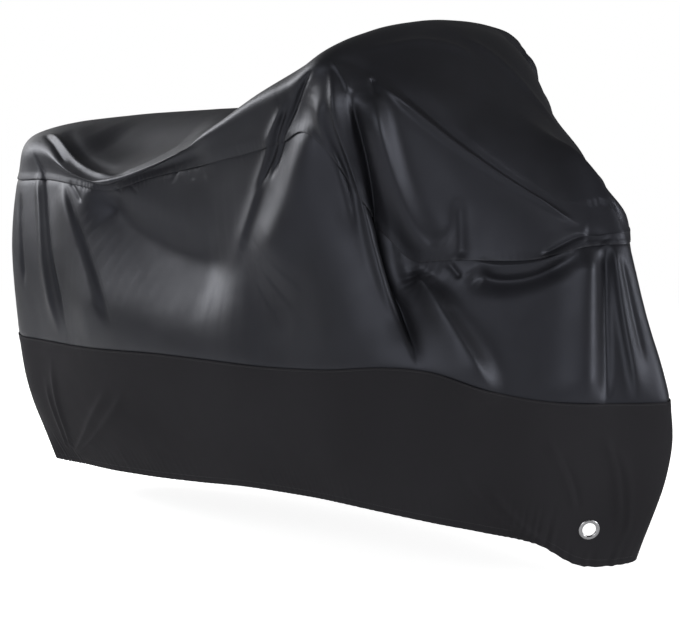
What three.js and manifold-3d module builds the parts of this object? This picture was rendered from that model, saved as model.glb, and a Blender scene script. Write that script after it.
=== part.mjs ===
// A fitted motorcycle cover as it hangs over a machine with a windshield: one top panel from tail to nose,
// a glossy side panel and a matt skirt on each side, and two lock eyelets in the skirt by the front wheel.
// Millimetres, +Z up. The machine faces +X, its right side is -Y. The part's origin is the spot under the
// crown of the top panel on which the cover hangs; the tables below measure from the ground instead, with
// forward 0 midway between the axles.
import * as THREE from 'three';
import { mergeVertices } from 'three/addons/utils/BufferGeometryUtils.js';
import Module from 'manifold-3d';

// Driving sizes
const CLOTH = 2;                       // thickness of every sheet
const SEAM_GAP = 0.3;                  // clear gap along a seam
const HANG_POINT = [300, 0, 1353];     // forward, out and up of the spot that the cover hangs on
const EYELET = {
  place: 0.955, level: 5.62,           // where its middle sits on the skirt
  bore: 17,                            // radius of the open hole
  barrel: 18.4,                        // outer radius of the tube that goes through the cloth
  flange: 26,                          // outer radius of the two rims
  rim: 1.1,                            // thickness of each rim
  flat: 78, fade: 125,                 // the cloth is flat out to the first radius, as hung past the second
  around: 36,                          // facets around
};

// The cover's cross-sections, from the middle of the tail (place 0) along one side to the middle of the nose
// (place 1). Each section is a line down the cloth through seven levels: [forward, out, up].
const LEVELS = ['ridge', 'crest', 'seam', 'bulge', 'skirt', 'belly', 'hem'];
const SECTIONS = [
  { place: 0.000, ridge: [-860, 0, 1046], crest: [-985, 0, 1010], seam: [-1012, 0, 905],
    bulge: [-1030, 0, 700], skirt: [-1012, 0, 458], belly: [-990, 0, 285], hem: [-955, 0, 85] },
  { place: 0.060, ridge: [-850, 0, 1048], crest: [-950, 130, 1008], seam: [-985, 145, 900],
    bulge: [-1000, 155, 700], skirt: [-983, 155, 457], belly: [-963, 137, 285], hem: [-930, 88, 95] },
  { place: 0.125, ridge: [-820, 0, 1053], crest: [-880, 200, 1011], seam: [-905, 235, 903],
    bulge: [-920, 255, 700], skirt: [-900, 250, 460], belly: [-882, 224, 290], hem: [-855, 137, 106] },
  { place: 0.205, ridge: [-735, 0, 1064], crest: [-765, 250, 1006], seam: [-765, 280, 918],
    bulge: [-770, 318, 700], skirt: [-765, 300, 468], belly: [-755, 275, 295], hem: [-715, 190, 122] },
  { place: 0.280, ridge: [-610, 0, 1079], crest: [-620, 308, 958], seam: [-620, 330, 920],
    bulge: [-610, 360, 700], skirt: [-605, 348, 477], belly: [-595, 322, 305], hem: [-550, 245, 136] },
  { place: 0.345, ridge: [-490, 0, 1091], crest: [-490, 338, 940], seam: [-480, 358, 915],
    bulge: [-450, 380, 700], skirt: [-450, 385, 490], belly: [-440, 352, 315], hem: [-400, 280, 149] },
  { place: 0.430, ridge: [-330, 0, 1106], crest: [-300, 355, 987], seam: [-300, 372, 962],
    bulge: [-250, 392, 700], skirt: [-250, 412, 505], belly: [-240, 380, 330], hem: [-200, 315, 168] },
  { place: 0.515, ridge: [-150, 0, 1120], crest: [-110, 370, 1078], seam: [-100, 388, 1010],
    bulge: [-60, 405, 700], skirt: [-50, 428, 512], belly: [-40, 402, 340], hem: [-10, 338, 186] },
  { place: 0.600, ridge: [60, 0, 1205], crest: [90, 392, 1196], seam: [90, 408, 1058],
    bulge: [130, 418, 700], skirt: [150, 438, 517], belly: [150, 415, 345], hem: [160, 350, 193] },
  { place: 0.645, ridge: [170, 0, 1305], crest: [195, 402, 1244], seam: [183, 414, 1086],
    bulge: [220, 425, 700], skirt: [240, 440, 523], belly: [235, 418, 348], hem: [235, 352, 193] },
  { place: 0.680, ridge: [262, 0, 1349], crest: [282, 410, 1289], seam: [262, 420, 1112],
    bulge: [300, 428, 700], skirt: [320, 438, 530], belly: [310, 418, 350], hem: [300, 352, 191] },
  { place: 0.735, ridge: [350, 0, 1345], crest: [378, 368, 1238], seam: [375, 375, 950],
    bulge: [430, 400, 690], skirt: [470, 420, 550], belly: [450, 398, 350], hem: [430, 336, 182] },
  { place: 0.790, ridge: [430, 0, 1287], crest: [470, 318, 1172], seam: [455, 305, 818],
    bulge: [520, 340, 690], skirt: [580, 375, 545], belly: [565, 358, 345], hem: [550, 312, 172] },
  { place: 0.850, ridge: [540, 0, 1168], crest: [585, 232, 1068], seam: [590, 262, 816],
    bulge: [635, 278, 690], skirt: [700, 298, 502], belly: [690, 295, 335], hem: [660, 265, 158] },
  { place: 0.910, ridge: [640, 0, 1100], crest: [705, 135, 965], seam: [738, 172, 820],
    bulge: [768, 175, 690], skirt: [815, 208, 476], belly: [812, 208, 318], hem: [772, 200, 133] },
  { place: 0.960, ridge: [735, 0, 1058], crest: [803, 60, 893], seam: [825, 70, 848],
    bulge: [860, 78, 685], skirt: [915, 100, 468], belly: [908, 102, 303], hem: [846, 108, 73] },
  { place: 1.000, ridge: [795, 0, 1005], crest: [868, 0, 885], seam: [880, 0, 850],
    bulge: [932, 0, 690], skirt: [1004, 0, 468], belly: [1000, 0, 300], hem: [918, 0, 72] },
];

// Folds: each runs through three spots [place, level], as a ridge (height above 0) or a trough (below 0).
// width is its half width where it starts and where it ends.
const RIGHT_FOLDS = [
  { name: 'seat sag', from: [0.24, 0.55], via: [0.35, 0.55], to: [0.46, 0.62], width: [90, 80], height: -14 },
  { name: 'tail edge crease', from: [0.16, 0.94], via: [0.22, 1.04], to: [0.25, 1.07], width: [14, 16], height: -8 },
  { name: 'rolled edge', from: [0.19, 0.97], via: [0.30, 1.00], to: [0.45, 1.00], width: [14, 18], height: 8 },
  { name: 'tail corner', from: [0.20, 1.9], via: [0.205, 2.9], to: [0.225, 3.9], width: [24, 32], height: 12 },
  { name: 'tail hollow', from: [0.22, 1.7], via: [0.25, 2.7], to: [0.30, 3.6], width: [20, 40], height: -18 },
  { name: 'tail fan upper', from: [0.232, 1.9], via: [0.30, 2.84], to: [0.39, 3.7], width: [18, 32], height: 14 },
  { name: 'tail fan slit', from: [0.262, 2.1], via: [0.32, 2.86], to: [0.365, 3.35], width: [18, 32], height: -16 },
  { name: 'hollow under seat', from: [0.38, 2.2], via: [0.45, 2.45], to: [0.53, 2.6], width: [60, 90], height: -34 },
  { name: 'hollow lip', from: [0.33, 2.1], via: [0.40, 2.7], to: [0.50, 3.0], width: [30, 60], height: 14 },
  { name: 'bar slit', from: [0.675, 1.1], via: [0.65, 1.90], to: [0.608, 2.3], width: [16, 24], height: -18 },
  { name: 'bar fold', from: [0.684, 1.1], via: [0.665, 2.05], to: [0.56, 2.9], width: [18, 50], height: 24 },
  { name: 'bar fold rear', from: [0.647, 1.7], via: [0.605, 2.13], to: [0.53, 2.8], width: [18, 40], height: 15 },
  { name: 'bar valley', from: [0.705, 1.5], via: [0.708, 2.3], to: [0.69, 3.3], width: [22, 60], height: -14 },
  { name: 'main ridge', from: [0.69, 1.05], via: [0.733, 1.95], to: [0.768, 3.9], width: [22, 32], height: 26 },
  { name: 'main valley', from: [0.729, 1.2], via: [0.757, 2.0], to: [0.782, 3.5], width: [24, 38], height: -36 },
  { name: 'screen fold', from: [0.745, 1.1], via: [0.79, 1.5], to: [0.85, 1.98], width: [18, 36], height: 18 },
  { name: 'screen hollow', from: [0.79, 1.25], via: [0.85, 1.45], to: [0.91, 1.6], width: [50, 50], height: -16 },
  { name: 'screen edge', from: [0.749, 0.98], via: [0.85, 1.02], to: [0.965, 1.02], width: [16, 14], height: 8 },
  { name: 'fork band', from: [0.806, 2.0], via: [0.834, 2.8], to: [0.862, 3.8], width: [28, 45], height: 20 },
  { name: 'fork trough', from: [0.80, 2.3], via: [0.81, 3.0], to: [0.83, 3.8], width: [24, 40], height: -12 },
  { name: 'sag', from: [0.866, 2.0], via: [0.889, 2.25], to: [0.958, 1.97], width: [18, 14], height: -18 },
  { name: 'sag roll', from: [0.866, 2.3], via: [0.893, 2.46], to: [0.955, 2.15], width: [16, 12], height: 10 },
  { name: 'nose stripe', from: [0.957, 2.1], via: [0.943, 3.2], to: [0.931, 4.05], width: [18, 34], height: 22 },
  { name: 'nose trough', from: [0.975, 2.1], via: [0.971, 3.0], to: [0.96, 3.95], width: [14, 26], height: -15 },
  { name: 'nose edge', from: [0.984, 2.4], via: [0.981, 3.3], to: [0.984, 4.0], width: [16, 26], height: 8 },
  { name: 'lock crease rear', from: [0.945, 5.2], via: [0.928, 4.95], to: [0.90, 4.4], width: [14, 24], height: 7 },
  { name: 'lock crease front', from: [0.962, 5.2], via: [0.963, 4.9], to: [0.966, 4.4], width: [14, 24], height: 7 },
  { name: 'wheel fan', from: [0.18, 5.7], via: [0.26, 5.25], to: [0.33, 4.6], width: [16, 34], height: 8 },
  { name: 'wheel fan rear', from: [0.175, 5.7], via: [0.24, 5.0], to: [0.28, 4.4], width: [14, 26], height: 7 },
];
const LEFT_FOLDS = [
  { name: 'seat sag', from: [0.20, 0.5], via: [0.33, 0.6], to: [0.48, 0.6], width: [80, 90], height: -12 },
  { name: 'narrow screen', from: [0.68, 0.9], via: [0.76, 1.0], to: [0.88, 1.0], width: [90, 100], height: -34 },
  { name: 'screen shoulder', from: [0.89, 0.95], via: [0.95, 0.9], to: [1.0, 0.9], width: [60, 60], height: 22 },
  { name: 'rolled edge', from: [0.17, 0.98], via: [0.30, 1.00], to: [0.42, 1.00], width: [14, 18], height: 7 },
  { name: 'tail corner', from: [0.17, 1.9], via: [0.185, 2.8], to: [0.21, 3.8], width: [24, 34], height: 12 },
  { name: 'tail hollow', from: [0.21, 1.8], via: [0.235, 2.7], to: [0.27, 3.7], width: [20, 42], height: -16 },
  { name: 'tail fan', from: [0.245, 1.9], via: [0.31, 2.8], to: [0.41, 3.6], width: [18, 36], height: 15 },
  { name: 'hollow under seat', from: [0.39, 2.2], via: [0.46, 2.5], to: [0.55, 2.6], width: [60, 85], height: -30 },
  { name: 'bar slit', from: [0.672, 1.1], via: [0.642, 1.90], to: [0.60, 2.4], width: [16, 24], height: -16 },
  { name: 'bar fold', from: [0.685, 1.1], via: [0.66, 2.0], to: [0.58, 3.0], width: [18, 48], height: 24 },
  { name: 'main ridge', from: [0.69, 1.05], via: [0.728, 2.0], to: [0.75, 3.9], width: [18, 32], height: 26 },
  { name: 'main valley', from: [0.729, 1.2], via: [0.75, 2.0], to: [0.768, 3.6], width: [18, 34], height: -32 },
  { name: 'screen fold', from: [0.742, 1.1], via: [0.80, 1.5], to: [0.87, 1.9], width: [18, 34], height: 16 },
  { name: 'fork band', from: [0.80, 2.1], via: [0.84, 2.8], to: [0.875, 3.7], width: [28, 44], height: 18 },
  { name: 'sag', from: [0.87, 2.0], via: [0.90, 2.25], to: [0.955, 2.0], width: [18, 14], height: -16 },
  { name: 'nose stripe', from: [0.96, 2.1], via: [0.948, 3.2], to: [0.935, 4.05], width: [18, 32], height: 20 },
  { name: 'lock crease', from: [0.95, 5.2], via: [0.935, 4.95], to: [0.915, 4.4], width: [14, 24], height: 7 },
  { name: 'wheel fan', from: [0.19, 5.7], via: [0.27, 5.2], to: [0.35, 4.5], width: [16, 34], height: 8 },
];
const FOLD_STEPS = 20;                 // straight steps along a fold's line
const FOLD_ENDS = 0.22;                // share of its length over which a fold rises and dies away

// How finely the cloth is faceted: lines across it between two places, rows down it between two levels
const PLACE_SPANS = [
  { from: 0, to: 0.16, lines: 4 }, { from: 0.16, to: 0.40, lines: 11 }, { from: 0.40, to: 0.58, lines: 5 },
  { from: 0.58, to: 0.70, lines: 8 }, { from: 0.70, to: 0.80, lines: 10 }, { from: 0.80, to: 0.93, lines: 7 },
  { from: 0.93, to: 0.98, lines: 4 }, { from: 0.98, to: 1, lines: 1 },
];
const LEVEL_SPANS = [
  { from: 0, to: 0.8, lines: 4 }, { from: 0.8, to: 1.2, lines: 3 }, { from: 1.2, to: 2, lines: 3 },
  { from: 2, to: 4, lines: 11 }, { from: 4, to: 5.2, lines: 3 }, { from: 5.2, to: 6, lines: 4 },
];
const STRIP = { places: [0.93, 0.98], levels: [5.2, 6] };    // the piece of the skirt that holds an eyelet

const GLOSSY = { color: 0x23252c, roughness: 0.38, metalness: 0 };
const MATT = { color: 0x1d1d20, roughness: 0.8, metalness: 0 };
const NICKEL = { color: 0xb9bcc0, roughness: 0.25, metalness: 1 };

// A smooth curve through rows of numbers at uneven knots: cubic steps with slopes from both neighbours
function smoothTrack(knots, rows) {
  const last = knots.length - 1;
  const width = rows[0].length;
  const step = (i, k) => (rows[i + 1][k] - rows[i][k]) / (knots[i + 1] - knots[i]);
  const slope = (i, k) => {
    if (i === 0) return step(0, k);
    if (i === last) return step(last - 1, k);
    const before = knots[i] - knots[i - 1];
    const after = knots[i + 1] - knots[i];
    return (step(i - 1, k) * after + step(i, k) * before) / (before + after);
  };
  return (t) => {
    let i = 0;
    while (i < last - 1 && knots[i + 1] < t) i += 1;
    const span = knots[i + 1] - knots[i];
    const s = (t - knots[i]) / span;
    return Array.from({ length: width }, (_, k) => (1 + 2 * s) * (1 - s) ** 2 * rows[i][k]
      + s * (1 - s) ** 2 * span * slope(i, k)
      + s * s * (3 - 2 * s) * rows[i + 1][k]
      + s * s * (s - 1) * span * slope(i + 1, k));
  };
}

const mirrored = ([forward, out, up]) => [forward, -out, up];
const flatRow = (section, turn) => LEVELS.flatMap((level) => turn(section[level]));
const same = (point) => point;

// The level lines run on round the tail and the nose on to the other side, so that both ends are round
function sectionTrack() {
  const inner = SECTIONS.slice(1, 3).reverse();
  const outer = SECTIONS.slice(-3, -1).reverse();
  const knots = [...inner.map((s) => -s.place), ...SECTIONS.map((s) => s.place), ...outer.map((s) => 2 - s.place)];
  const rows = [...inner.map((s) => flatRow(s, mirrored)), ...SECTIONS.map((s) => flatRow(s, same)),
    ...outer.map((s) => flatRow(s, mirrored))];
  return smoothTrack(knots, rows);
}

const sectionAt = sectionTrack();

// A point of the smooth cloth, before folds: side is -1 on the right and 1 on the left
function downTheCloth(place) {
  const flat = sectionAt(place);
  const points = LEVELS.map((_, k) => flat.slice(3 * k, 3 * k + 3));
  return smoothTrack([-1, 0, 1, 2, 3, 4, 5, 6], [mirrored(points[1]), ...points]);
}

function smoothPoint(side, place, level) {
  const [forward, out, up] = downTheCloth(place)(level);
  return new THREE.Vector3(forward, side * out, up);
}

function foldLine(side, fold) {
  const points = [];
  for (let k = 0; k <= FOLD_STEPS; k += 1) {
    const t = k / FOLD_STEPS;
    const bend = [0, 1].map((c) => {
      const pull = 2 * fold.via[c] - (fold.from[c] + fold.to[c]) / 2;
      return (1 - t) ** 2 * fold.from[c] + 2 * t * (1 - t) * pull + t * t * fold.to[c];
    });
    points.push(smoothPoint(side, bend[0], bend[1]));
  }
  return { ...fold, points };
}

// The part of a fold's height that is left at share t of its length: it rises and dies away at its ends
function endFade(t) {
  const rise = Math.min(t, 1 - t) / FOLD_ENDS;
  return rise >= 1 ? 1 : rise * rise * (3 - 2 * rise);
}

function foldHeight(fold, point) {
  let nearest = Infinity;
  let at = 0;
  for (let k = 0; k < FOLD_STEPS; k += 1) {
    const step = new THREE.Line3(fold.points[k], fold.points[k + 1]);
    const t = step.closestPointToPointParameter(point, true);
    const distance = step.at(t, new THREE.Vector3()).distanceTo(point);
    if (distance < nearest) {
      nearest = distance;
      at = (k + t) / FOLD_STEPS;
    }
  }
  const width = fold.width[0] + (fold.width[1] - fold.width[0]) * at;
  return fold.height * endFade(at) * Math.exp(-((nearest / width) ** 2));
}

function linesOf(spans) {
  const values = [0];
  for (const span of spans) {
    for (let k = 1; k <= span.lines; k += 1) {
      values.push(span.from + (span.to - span.from) * k / span.lines);
    }
  }
  return values;
}

const PLACES = linesOf(PLACE_SPANS);
const ROWS = linesOf(LEVEL_SPANS);
const LAST = PLACES.length - 1;

// The whole cloth is one net of spots. Rows count down each side from the ridge: below 0 on the right side,
// above 0 on the left. The ridge, and the two lines where the sides meet, are shared.
const spotKey = (i, j) => (i === 0 || i === LAST ? `${i}:${Math.abs(j)}` : `${i}:${j}`);

function netOfSpots(pointAt) {
  const spots = new Map();
  for (let i = 0; i <= LAST; i += 1) {
    for (let j = 1 - ROWS.length; j < ROWS.length; j += 1) {
      const key = spotKey(i, j);
      if (!spots.has(key)) spots.set(key, pointAt(i, j));
    }
  }
  return spots;
}

// The corners of the patch between places i and i + 1 and rows j and j + 1, anticlockwise from outside
const patchCorners = (i, j) => [spotKey(i, j), spotKey(i + 1, j), spotKey(i + 1, j + 1), spotKey(i, j + 1)];

function allPatches() {
  const patches = [];
  for (let i = 0; i < LAST; i += 1) {
    for (let j = 1 - ROWS.length; j < ROWS.length - 1; j += 1) patches.push([i, j]);
  }
  return patches;
}

const trianglesOf = ([a, b, c, d]) => [[a, b, c], [a, c, d]].filter((t) => new Set(t).size === 3);

function outwardNormals(spots) {
  const normals = new Map([...spots.keys()].map((key) => [key, new THREE.Vector3()]));
  for (const [i, j] of allPatches()) {
    for (const triangle of trianglesOf(patchCorners(i, j))) {
      const [a, b, c] = triangle.map((key) => spots.get(key));
      const face = new THREE.Vector3().crossVectors(b.clone().sub(a), c.clone().sub(a));
      triangle.forEach((key) => normals.get(key).add(face));
    }
  }
  normals.forEach((normal) => normal.normalize());
  return normals;
}

// The folded cloth: every spot is moved along its normal by the folds of its side
function foldedNet() {
  const smooth = netOfSpots((i, j) => smoothPoint(j < 0 ? -1 : 1, PLACES[i], ROWS[Math.abs(j)]));
  const normals = outwardNormals(smooth);
  const folds = [...RIGHT_FOLDS.map((fold) => foldLine(-1, fold)), ...LEFT_FOLDS.map((fold) => foldLine(1, fold))];
  const folded = new Map();
  smooth.forEach((point, key) => {
    const height = folds.reduce((sum, fold) => sum + foldHeight(fold, point), 0);
    folded.set(key, point.clone().addScaledVector(normals.get(key), height));
  });
  return folded;
}

// A rigid eyelet holds the cloth flat around it
function layFlat(spots, eyelet) {
  spots.forEach((point) => {
    const off = point.clone().sub(eyelet.centre);
    const height = off.dot(eyelet.normal);
    const t = THREE.MathUtils.clamp((EYELET.fade - off.length()) / (EYELET.fade - EYELET.flat), 0, 1);
    point.addScaledVector(eyelet.normal, -height * t * t * (3 - 2 * t));
  });
}

// Where an eyelet sits: its middle on the smooth cloth and the way it faces
function eyeletSeat(side) {
  const at = (place, level) => smoothPoint(side, place, level);
  const { place, level } = EYELET;
  const along = at(place + 0.02, level).sub(at(place - 0.02, level));
  const down = at(place, level + 0.2).sub(at(place, level - 0.2));
  const normal = new THREE.Vector3().crossVectors(along, down).multiplyScalar(side).normalize();
  return { centre: at(place, level), normal };
}

// A closed sheet of cloth over the given patches: outer face, inner face, and an edge all round. The edge is
// drawn in square to itself by half of the seam's gap, and split along the same diagonals on both sides of a
// seam, so that neighbours run parallel.
function sheetGeometry(spots, normals, patches) {
  const outer = [];
  const inner = [];
  const index = new Map();
  const edges = new Map();
  const inward = new Map();
  const triangles = patches.flatMap(([i, j]) => trianglesOf(patchCorners(i, j)));
  for (const triangle of triangles) {
    const middle = triangle.reduce((sum, key) => sum.add(spots.get(key)), new THREE.Vector3()).divideScalar(3);
    triangle.forEach((key, n) => {
      if (!index.has(key)) index.set(key, index.size);
      if (!inward.has(key)) inward.set(key, new THREE.Vector3());
      inward.get(key).add(middle.clone().sub(spots.get(key)));
      const next = triangle[(n + 1) % 3];
      if (!edges.delete(`${next} ${key}`)) edges.set(`${key} ${next}`, [key, next]);
    });
  }
  const edgeWay = new Map();
  for (const [from, to] of edges.values()) {
    const way = spots.get(to).clone().sub(spots.get(from)).normalize();
    for (const key of [from, to]) edgeWay.set(key, way.clone().add(edgeWay.get(key) ?? new THREE.Vector3()));
  }
  for (const key of index.keys()) {
    const point = spots.get(key).clone();
    if (edgeWay.has(key)) {
      const square = inward.get(key).projectOnPlane(edgeWay.get(key).normalize()).normalize();
      point.addScaledVector(square, SEAM_GAP / 2);
    }
    outer.push(...point.toArray());
    inner.push(...point.addScaledVector(normals.get(key), -CLOTH).toArray());
  }
  const count = index.size;
  const faces = triangles.flatMap((triangle) => {
    const [a, b, c] = triangle.map((key) => index.get(key));
    return [a, b, c, a + count, c + count, b + count];
  });
  for (const [from, to] of edges.values()) {
    const [a, b] = [index.get(from), index.get(to)];
    if (from < to) faces.push(a, a + count, b, b, a + count, b + count);
    else faces.push(a, a + count, b + count, a, b + count, b);
  }
  const geometry = new THREE.BufferGeometry();
  geometry.setAttribute('position', new THREE.Float32BufferAttribute([...outer, ...inner], 3));
  geometry.setIndex(faces);
  return geometry;
}

const wasm = await Module();
wasm.setup();

function toSolid(geometry) {
  const vertProperties = new Float32Array(geometry.getAttribute('position').array);
  const triVerts = new Uint32Array(geometry.getIndex().array);
  return new wasm.Manifold(new wasm.Mesh({ numProp: 3, vertProperties, triVerts }));
}

function toGeometry(solid) {
  const { vertProperties, triVerts } = solid.getMesh();
  const geometry = new THREE.BufferGeometry();
  geometry.setAttribute('position', new THREE.Float32BufferAttribute(vertProperties, 3));
  geometry.setIndex([...triVerts]);
  return geometry;
}

// A ring turned from a closed outline of [radius, height] points, clockwise, standing on the eyelet's seat
function turnedRing(outline, seat) {
  const around = EYELET.around;
  const positions = [];
  const faces = [];
  for (let k = 0; k < around; k += 1) {
    const angle = 2 * Math.PI * k / around;
    for (const [radius, height] of outline) {
      positions.push(radius * Math.cos(angle), radius * Math.sin(angle), height);
    }
  }
  const at = (k, n) => (k % around) * outline.length + (n % outline.length);
  for (let k = 0; k < around; k += 1) {
    for (let n = 0; n < outline.length; n += 1) {
      faces.push(at(k, n), at(k + 1, n + 1), at(k + 1, n), at(k, n), at(k, n + 1), at(k + 1, n + 1));
    }
  }
  const geometry = new THREE.BufferGeometry();
  geometry.setAttribute('position', new THREE.Float32BufferAttribute(positions, 3));
  geometry.setIndex(faces);
  const turn = new THREE.Quaternion().setFromUnitVectors(new THREE.Vector3(0, 0, 1), seat.normal);
  return geometry.applyQuaternion(turn).translate(...seat.centre.toArray());
}

// Heights are from the cloth's outer face. The barrel goes through the cloth, a domed rim lies on each face.
function eyeletOutline() {
  const { bore, barrel, flange, rim } = EYELET;
  const top = SEAM_GAP;
  const bottom = -CLOTH - SEAM_GAP;
  const middle = (barrel + flange) / 2;
  return [
    [bore, bottom], [bore, top], [barrel, top + rim], [middle, top + rim * 1.25], [flange - rim / 2, top + rim],
    [flange, top], [barrel, top], [barrel, bottom], [flange, bottom], [flange - rim / 2, bottom - rim],
    [middle, bottom - rim * 1.25], [barrel, bottom - rim],
  ];
}

function eyeletHole(seat) {
  const radius = EYELET.barrel + SEAM_GAP;
  const reach = 20;
  const plug = new THREE.CylinderGeometry(radius, radius, 2 * reach, EYELET.around).rotateX(Math.PI / 2);
  const turn = new THREE.Quaternion().setFromUnitVectors(new THREE.Vector3(0, 0, 1), seat.normal);
  plug.deleteAttribute('normal').deleteAttribute('uv');
  return mergeVertices(plug).applyQuaternion(turn).translate(...seat.centre.toArray());
}

const isBetween = (value, [low, high]) => value > low && value < high;

// Which piece a patch belongs to, from the middle of its place and level
function pieceOf([i, j]) {
  const place = (PLACES[i] + PLACES[i + 1]) / 2;
  const level = (ROWS[Math.abs(j)] + ROWS[Math.abs(j + 1)]) / 2;
  const side = j < 0 ? 'right' : 'left';
  if (level < 2) return 'top_panel';
  if (level < 4) return `side_panel_${side}`;
  if (isBetween(place, STRIP.places) && isBetween(level, STRIP.levels)) return `eyelet_strip_${side}`;
  return `skirt_${side}`;
}

const finishOf = (name) => (name.startsWith('skirt') || name.startsWith('eyelet_strip') ? MATT : GLOSSY);

function namedMesh(name, geometry, finish) {
  const mesh = new THREE.Mesh(geometry, new THREE.MeshStandardMaterial(finish));
  mesh.name = name;
  geometry.computeVertexNormals();
  return mesh;
}

export default (() => {
  const cover = new THREE.Group();
  const spots = foldedNet();
  const seats = { right: eyeletSeat(-1), left: eyeletSeat(1) };
  Object.values(seats).forEach((seat) => layFlat(spots, seat));
  const normals = outwardNormals(spots);
  const pieces = Map.groupBy(allPatches(), pieceOf);
  pieces.forEach((patches, name) => {
    let geometry = sheetGeometry(spots, normals, patches);
    if (name.startsWith('eyelet_strip')) {
      const seat = seats[name.split('_').pop()];
      geometry = toGeometry(toSolid(geometry).subtract(toSolid(eyeletHole(seat))));
    }
    cover.add(namedMesh(name, geometry, finishOf(name)));
  });
  for (const [side, seat] of Object.entries(seats)) {
    cover.add(namedMesh(`eyelet_${side}`, turnedRing(eyeletOutline(), seat), NICKEL));
  }
  cover.position.set(...HANG_POINT).multiplyScalar(-1);
  const part = new THREE.Group();
  part.add(cover);
  return part;
})();
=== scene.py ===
# %% [markdown]
# # A fitted motorcycle cover
# Two coated cloths are cut, sewn and pulled over a machine: a glossy upper in three panels and a matt skirt
# with an elastic hem. The machine itself is not part of the object, so the cover is a hollow shell.
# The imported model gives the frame: its sheets say where the cloth hangs. Here the same surface is worked out
# again, far finer, because folds, laps, rolled edges and stitches are what make black cloth readable.

# %% Frame
import math
import bpy
import numpy as np
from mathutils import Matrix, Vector


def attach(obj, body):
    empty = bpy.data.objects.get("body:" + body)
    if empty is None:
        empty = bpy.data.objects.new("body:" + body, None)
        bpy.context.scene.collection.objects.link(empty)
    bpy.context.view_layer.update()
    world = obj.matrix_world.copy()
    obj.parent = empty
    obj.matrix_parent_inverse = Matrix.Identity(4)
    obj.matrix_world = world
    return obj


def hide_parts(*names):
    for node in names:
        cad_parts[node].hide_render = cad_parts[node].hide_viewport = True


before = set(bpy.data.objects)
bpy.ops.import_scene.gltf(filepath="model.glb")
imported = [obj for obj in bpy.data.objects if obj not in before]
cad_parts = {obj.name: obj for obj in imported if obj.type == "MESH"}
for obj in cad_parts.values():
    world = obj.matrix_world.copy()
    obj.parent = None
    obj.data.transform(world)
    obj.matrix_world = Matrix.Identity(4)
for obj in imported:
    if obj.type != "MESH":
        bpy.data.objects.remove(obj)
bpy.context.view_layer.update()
MM = 0.001
print("nodes:", sorted(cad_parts))

# %% [markdown]
# ## Where the cloth hangs
# A pattern cutter thinks in lines that run round the cover: the ridge over the seat, the crest where the top
# turns over, the side seam, the widest line, the skirt seam, the belly of the skirt and the hem. A row is one
# cross-section, from the middle of the tail (place 0) to the middle of the nose (place 1), and each level in
# it is forward, out and up in millimetres from the ground. It could be sculpted by hand, but a table of
# sections is easy to read and to correct, and both sides share it.

# %% Sections
HANG_POINT = np.array([300, 0, 1353])        # the frame's origin, measured like the sections
LEVELS = ["ridge", "crest", "seam", "bulge", "skirt", "belly", "hem"]
SECTION_TABLE = """
place          ridge          crest           seam          bulge          skirt          belly            hem
0.000  -860   0 1046  -985   0 1010 -1012   0  905 -1030   0  700 -1012   0  458  -990   0  285  -955   0   85
0.060  -850   0 1048  -950 130 1008  -985 145  900 -1000 155  700  -983 155  457  -963 137  285  -930  88   95
0.125  -820   0 1053  -880 200 1011  -905 235  903  -920 255  700  -900 250  460  -882 224  290  -855 137  106
0.205  -735   0 1064  -765 250 1006  -765 280  918  -770 318  700  -765 300  468  -755 275  295  -715 190  122
0.280  -610   0 1079  -620 308  958  -620 330  920  -610 360  700  -605 348  477  -595 322  305  -550 245  136
0.345  -490   0 1091  -490 338  940  -480 358  915  -450 380  700  -450 385  490  -440 352  315  -400 280  149
0.430  -330   0 1106  -300 355  987  -300 372  962  -250 392  700  -250 412  505  -240 380  330  -200 315  168
0.515  -150   0 1120  -110 370 1078  -100 388 1010   -60 405  700   -50 428  512   -40 402  340   -10 338  186
0.600    60   0 1205    90 392 1196    90 408 1058   130 418  700   150 438  517   150 415  345   160 350  193
0.645   170   0 1305   195 402 1244   183 414 1086   220 425  700   240 440  523   235 418  348   235 352  193
0.680   262   0 1349   282 410 1289   262 420 1112   300 428  700   320 438  530   310 418  350   300 352  191
0.735   350   0 1345   378 368 1238   375 375  950   430 400  690   470 420  550   450 398  350   430 336  182
0.790   430   0 1287   470 318 1172   455 305  818   520 340  690   580 375  545   565 358  345   550 312  172
0.850   540   0 1168   585 232 1068   590 262  816   635 278  690   700 298  502   690 295  335   660 265  158
0.910   640   0 1100   705 135  965   738 172  820   768 175  690   815 208  476   812 208  318   772 200  133
0.960   735   0 1058   803  60  893   825  70  848   860  78  685   915 100  468   908 102  303   846 108   73
1.000   795   0 1005   868   0  885   880   0  850   932   0  690  1004   0  468  1000   0  300   918   0   72
"""


def table_rows(text):
    """The rows under a table's heading, each as a list of words."""
    return [line.split() for line in text.strip().splitlines()[1:]]


SECTIONS = np.array(table_rows(SECTION_TABLE), float)
PLACES = SECTIONS[:, 0]
LINES = SECTIONS[:, 1:].reshape(len(PLACES), len(LEVELS), 3)
print("sections:", len(PLACES), "levels:", len(LEVELS))

# %% [markdown]
# ## A smooth cloth through the sections
# Cloth over a frame is smooth between the places that hold it up. Cubic steps through the table keep every
# number in it and join without a kink. The lines run on round the tail and the nose to the other side, and
# over the ridge, so that the whole cover closes smoothly.

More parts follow.
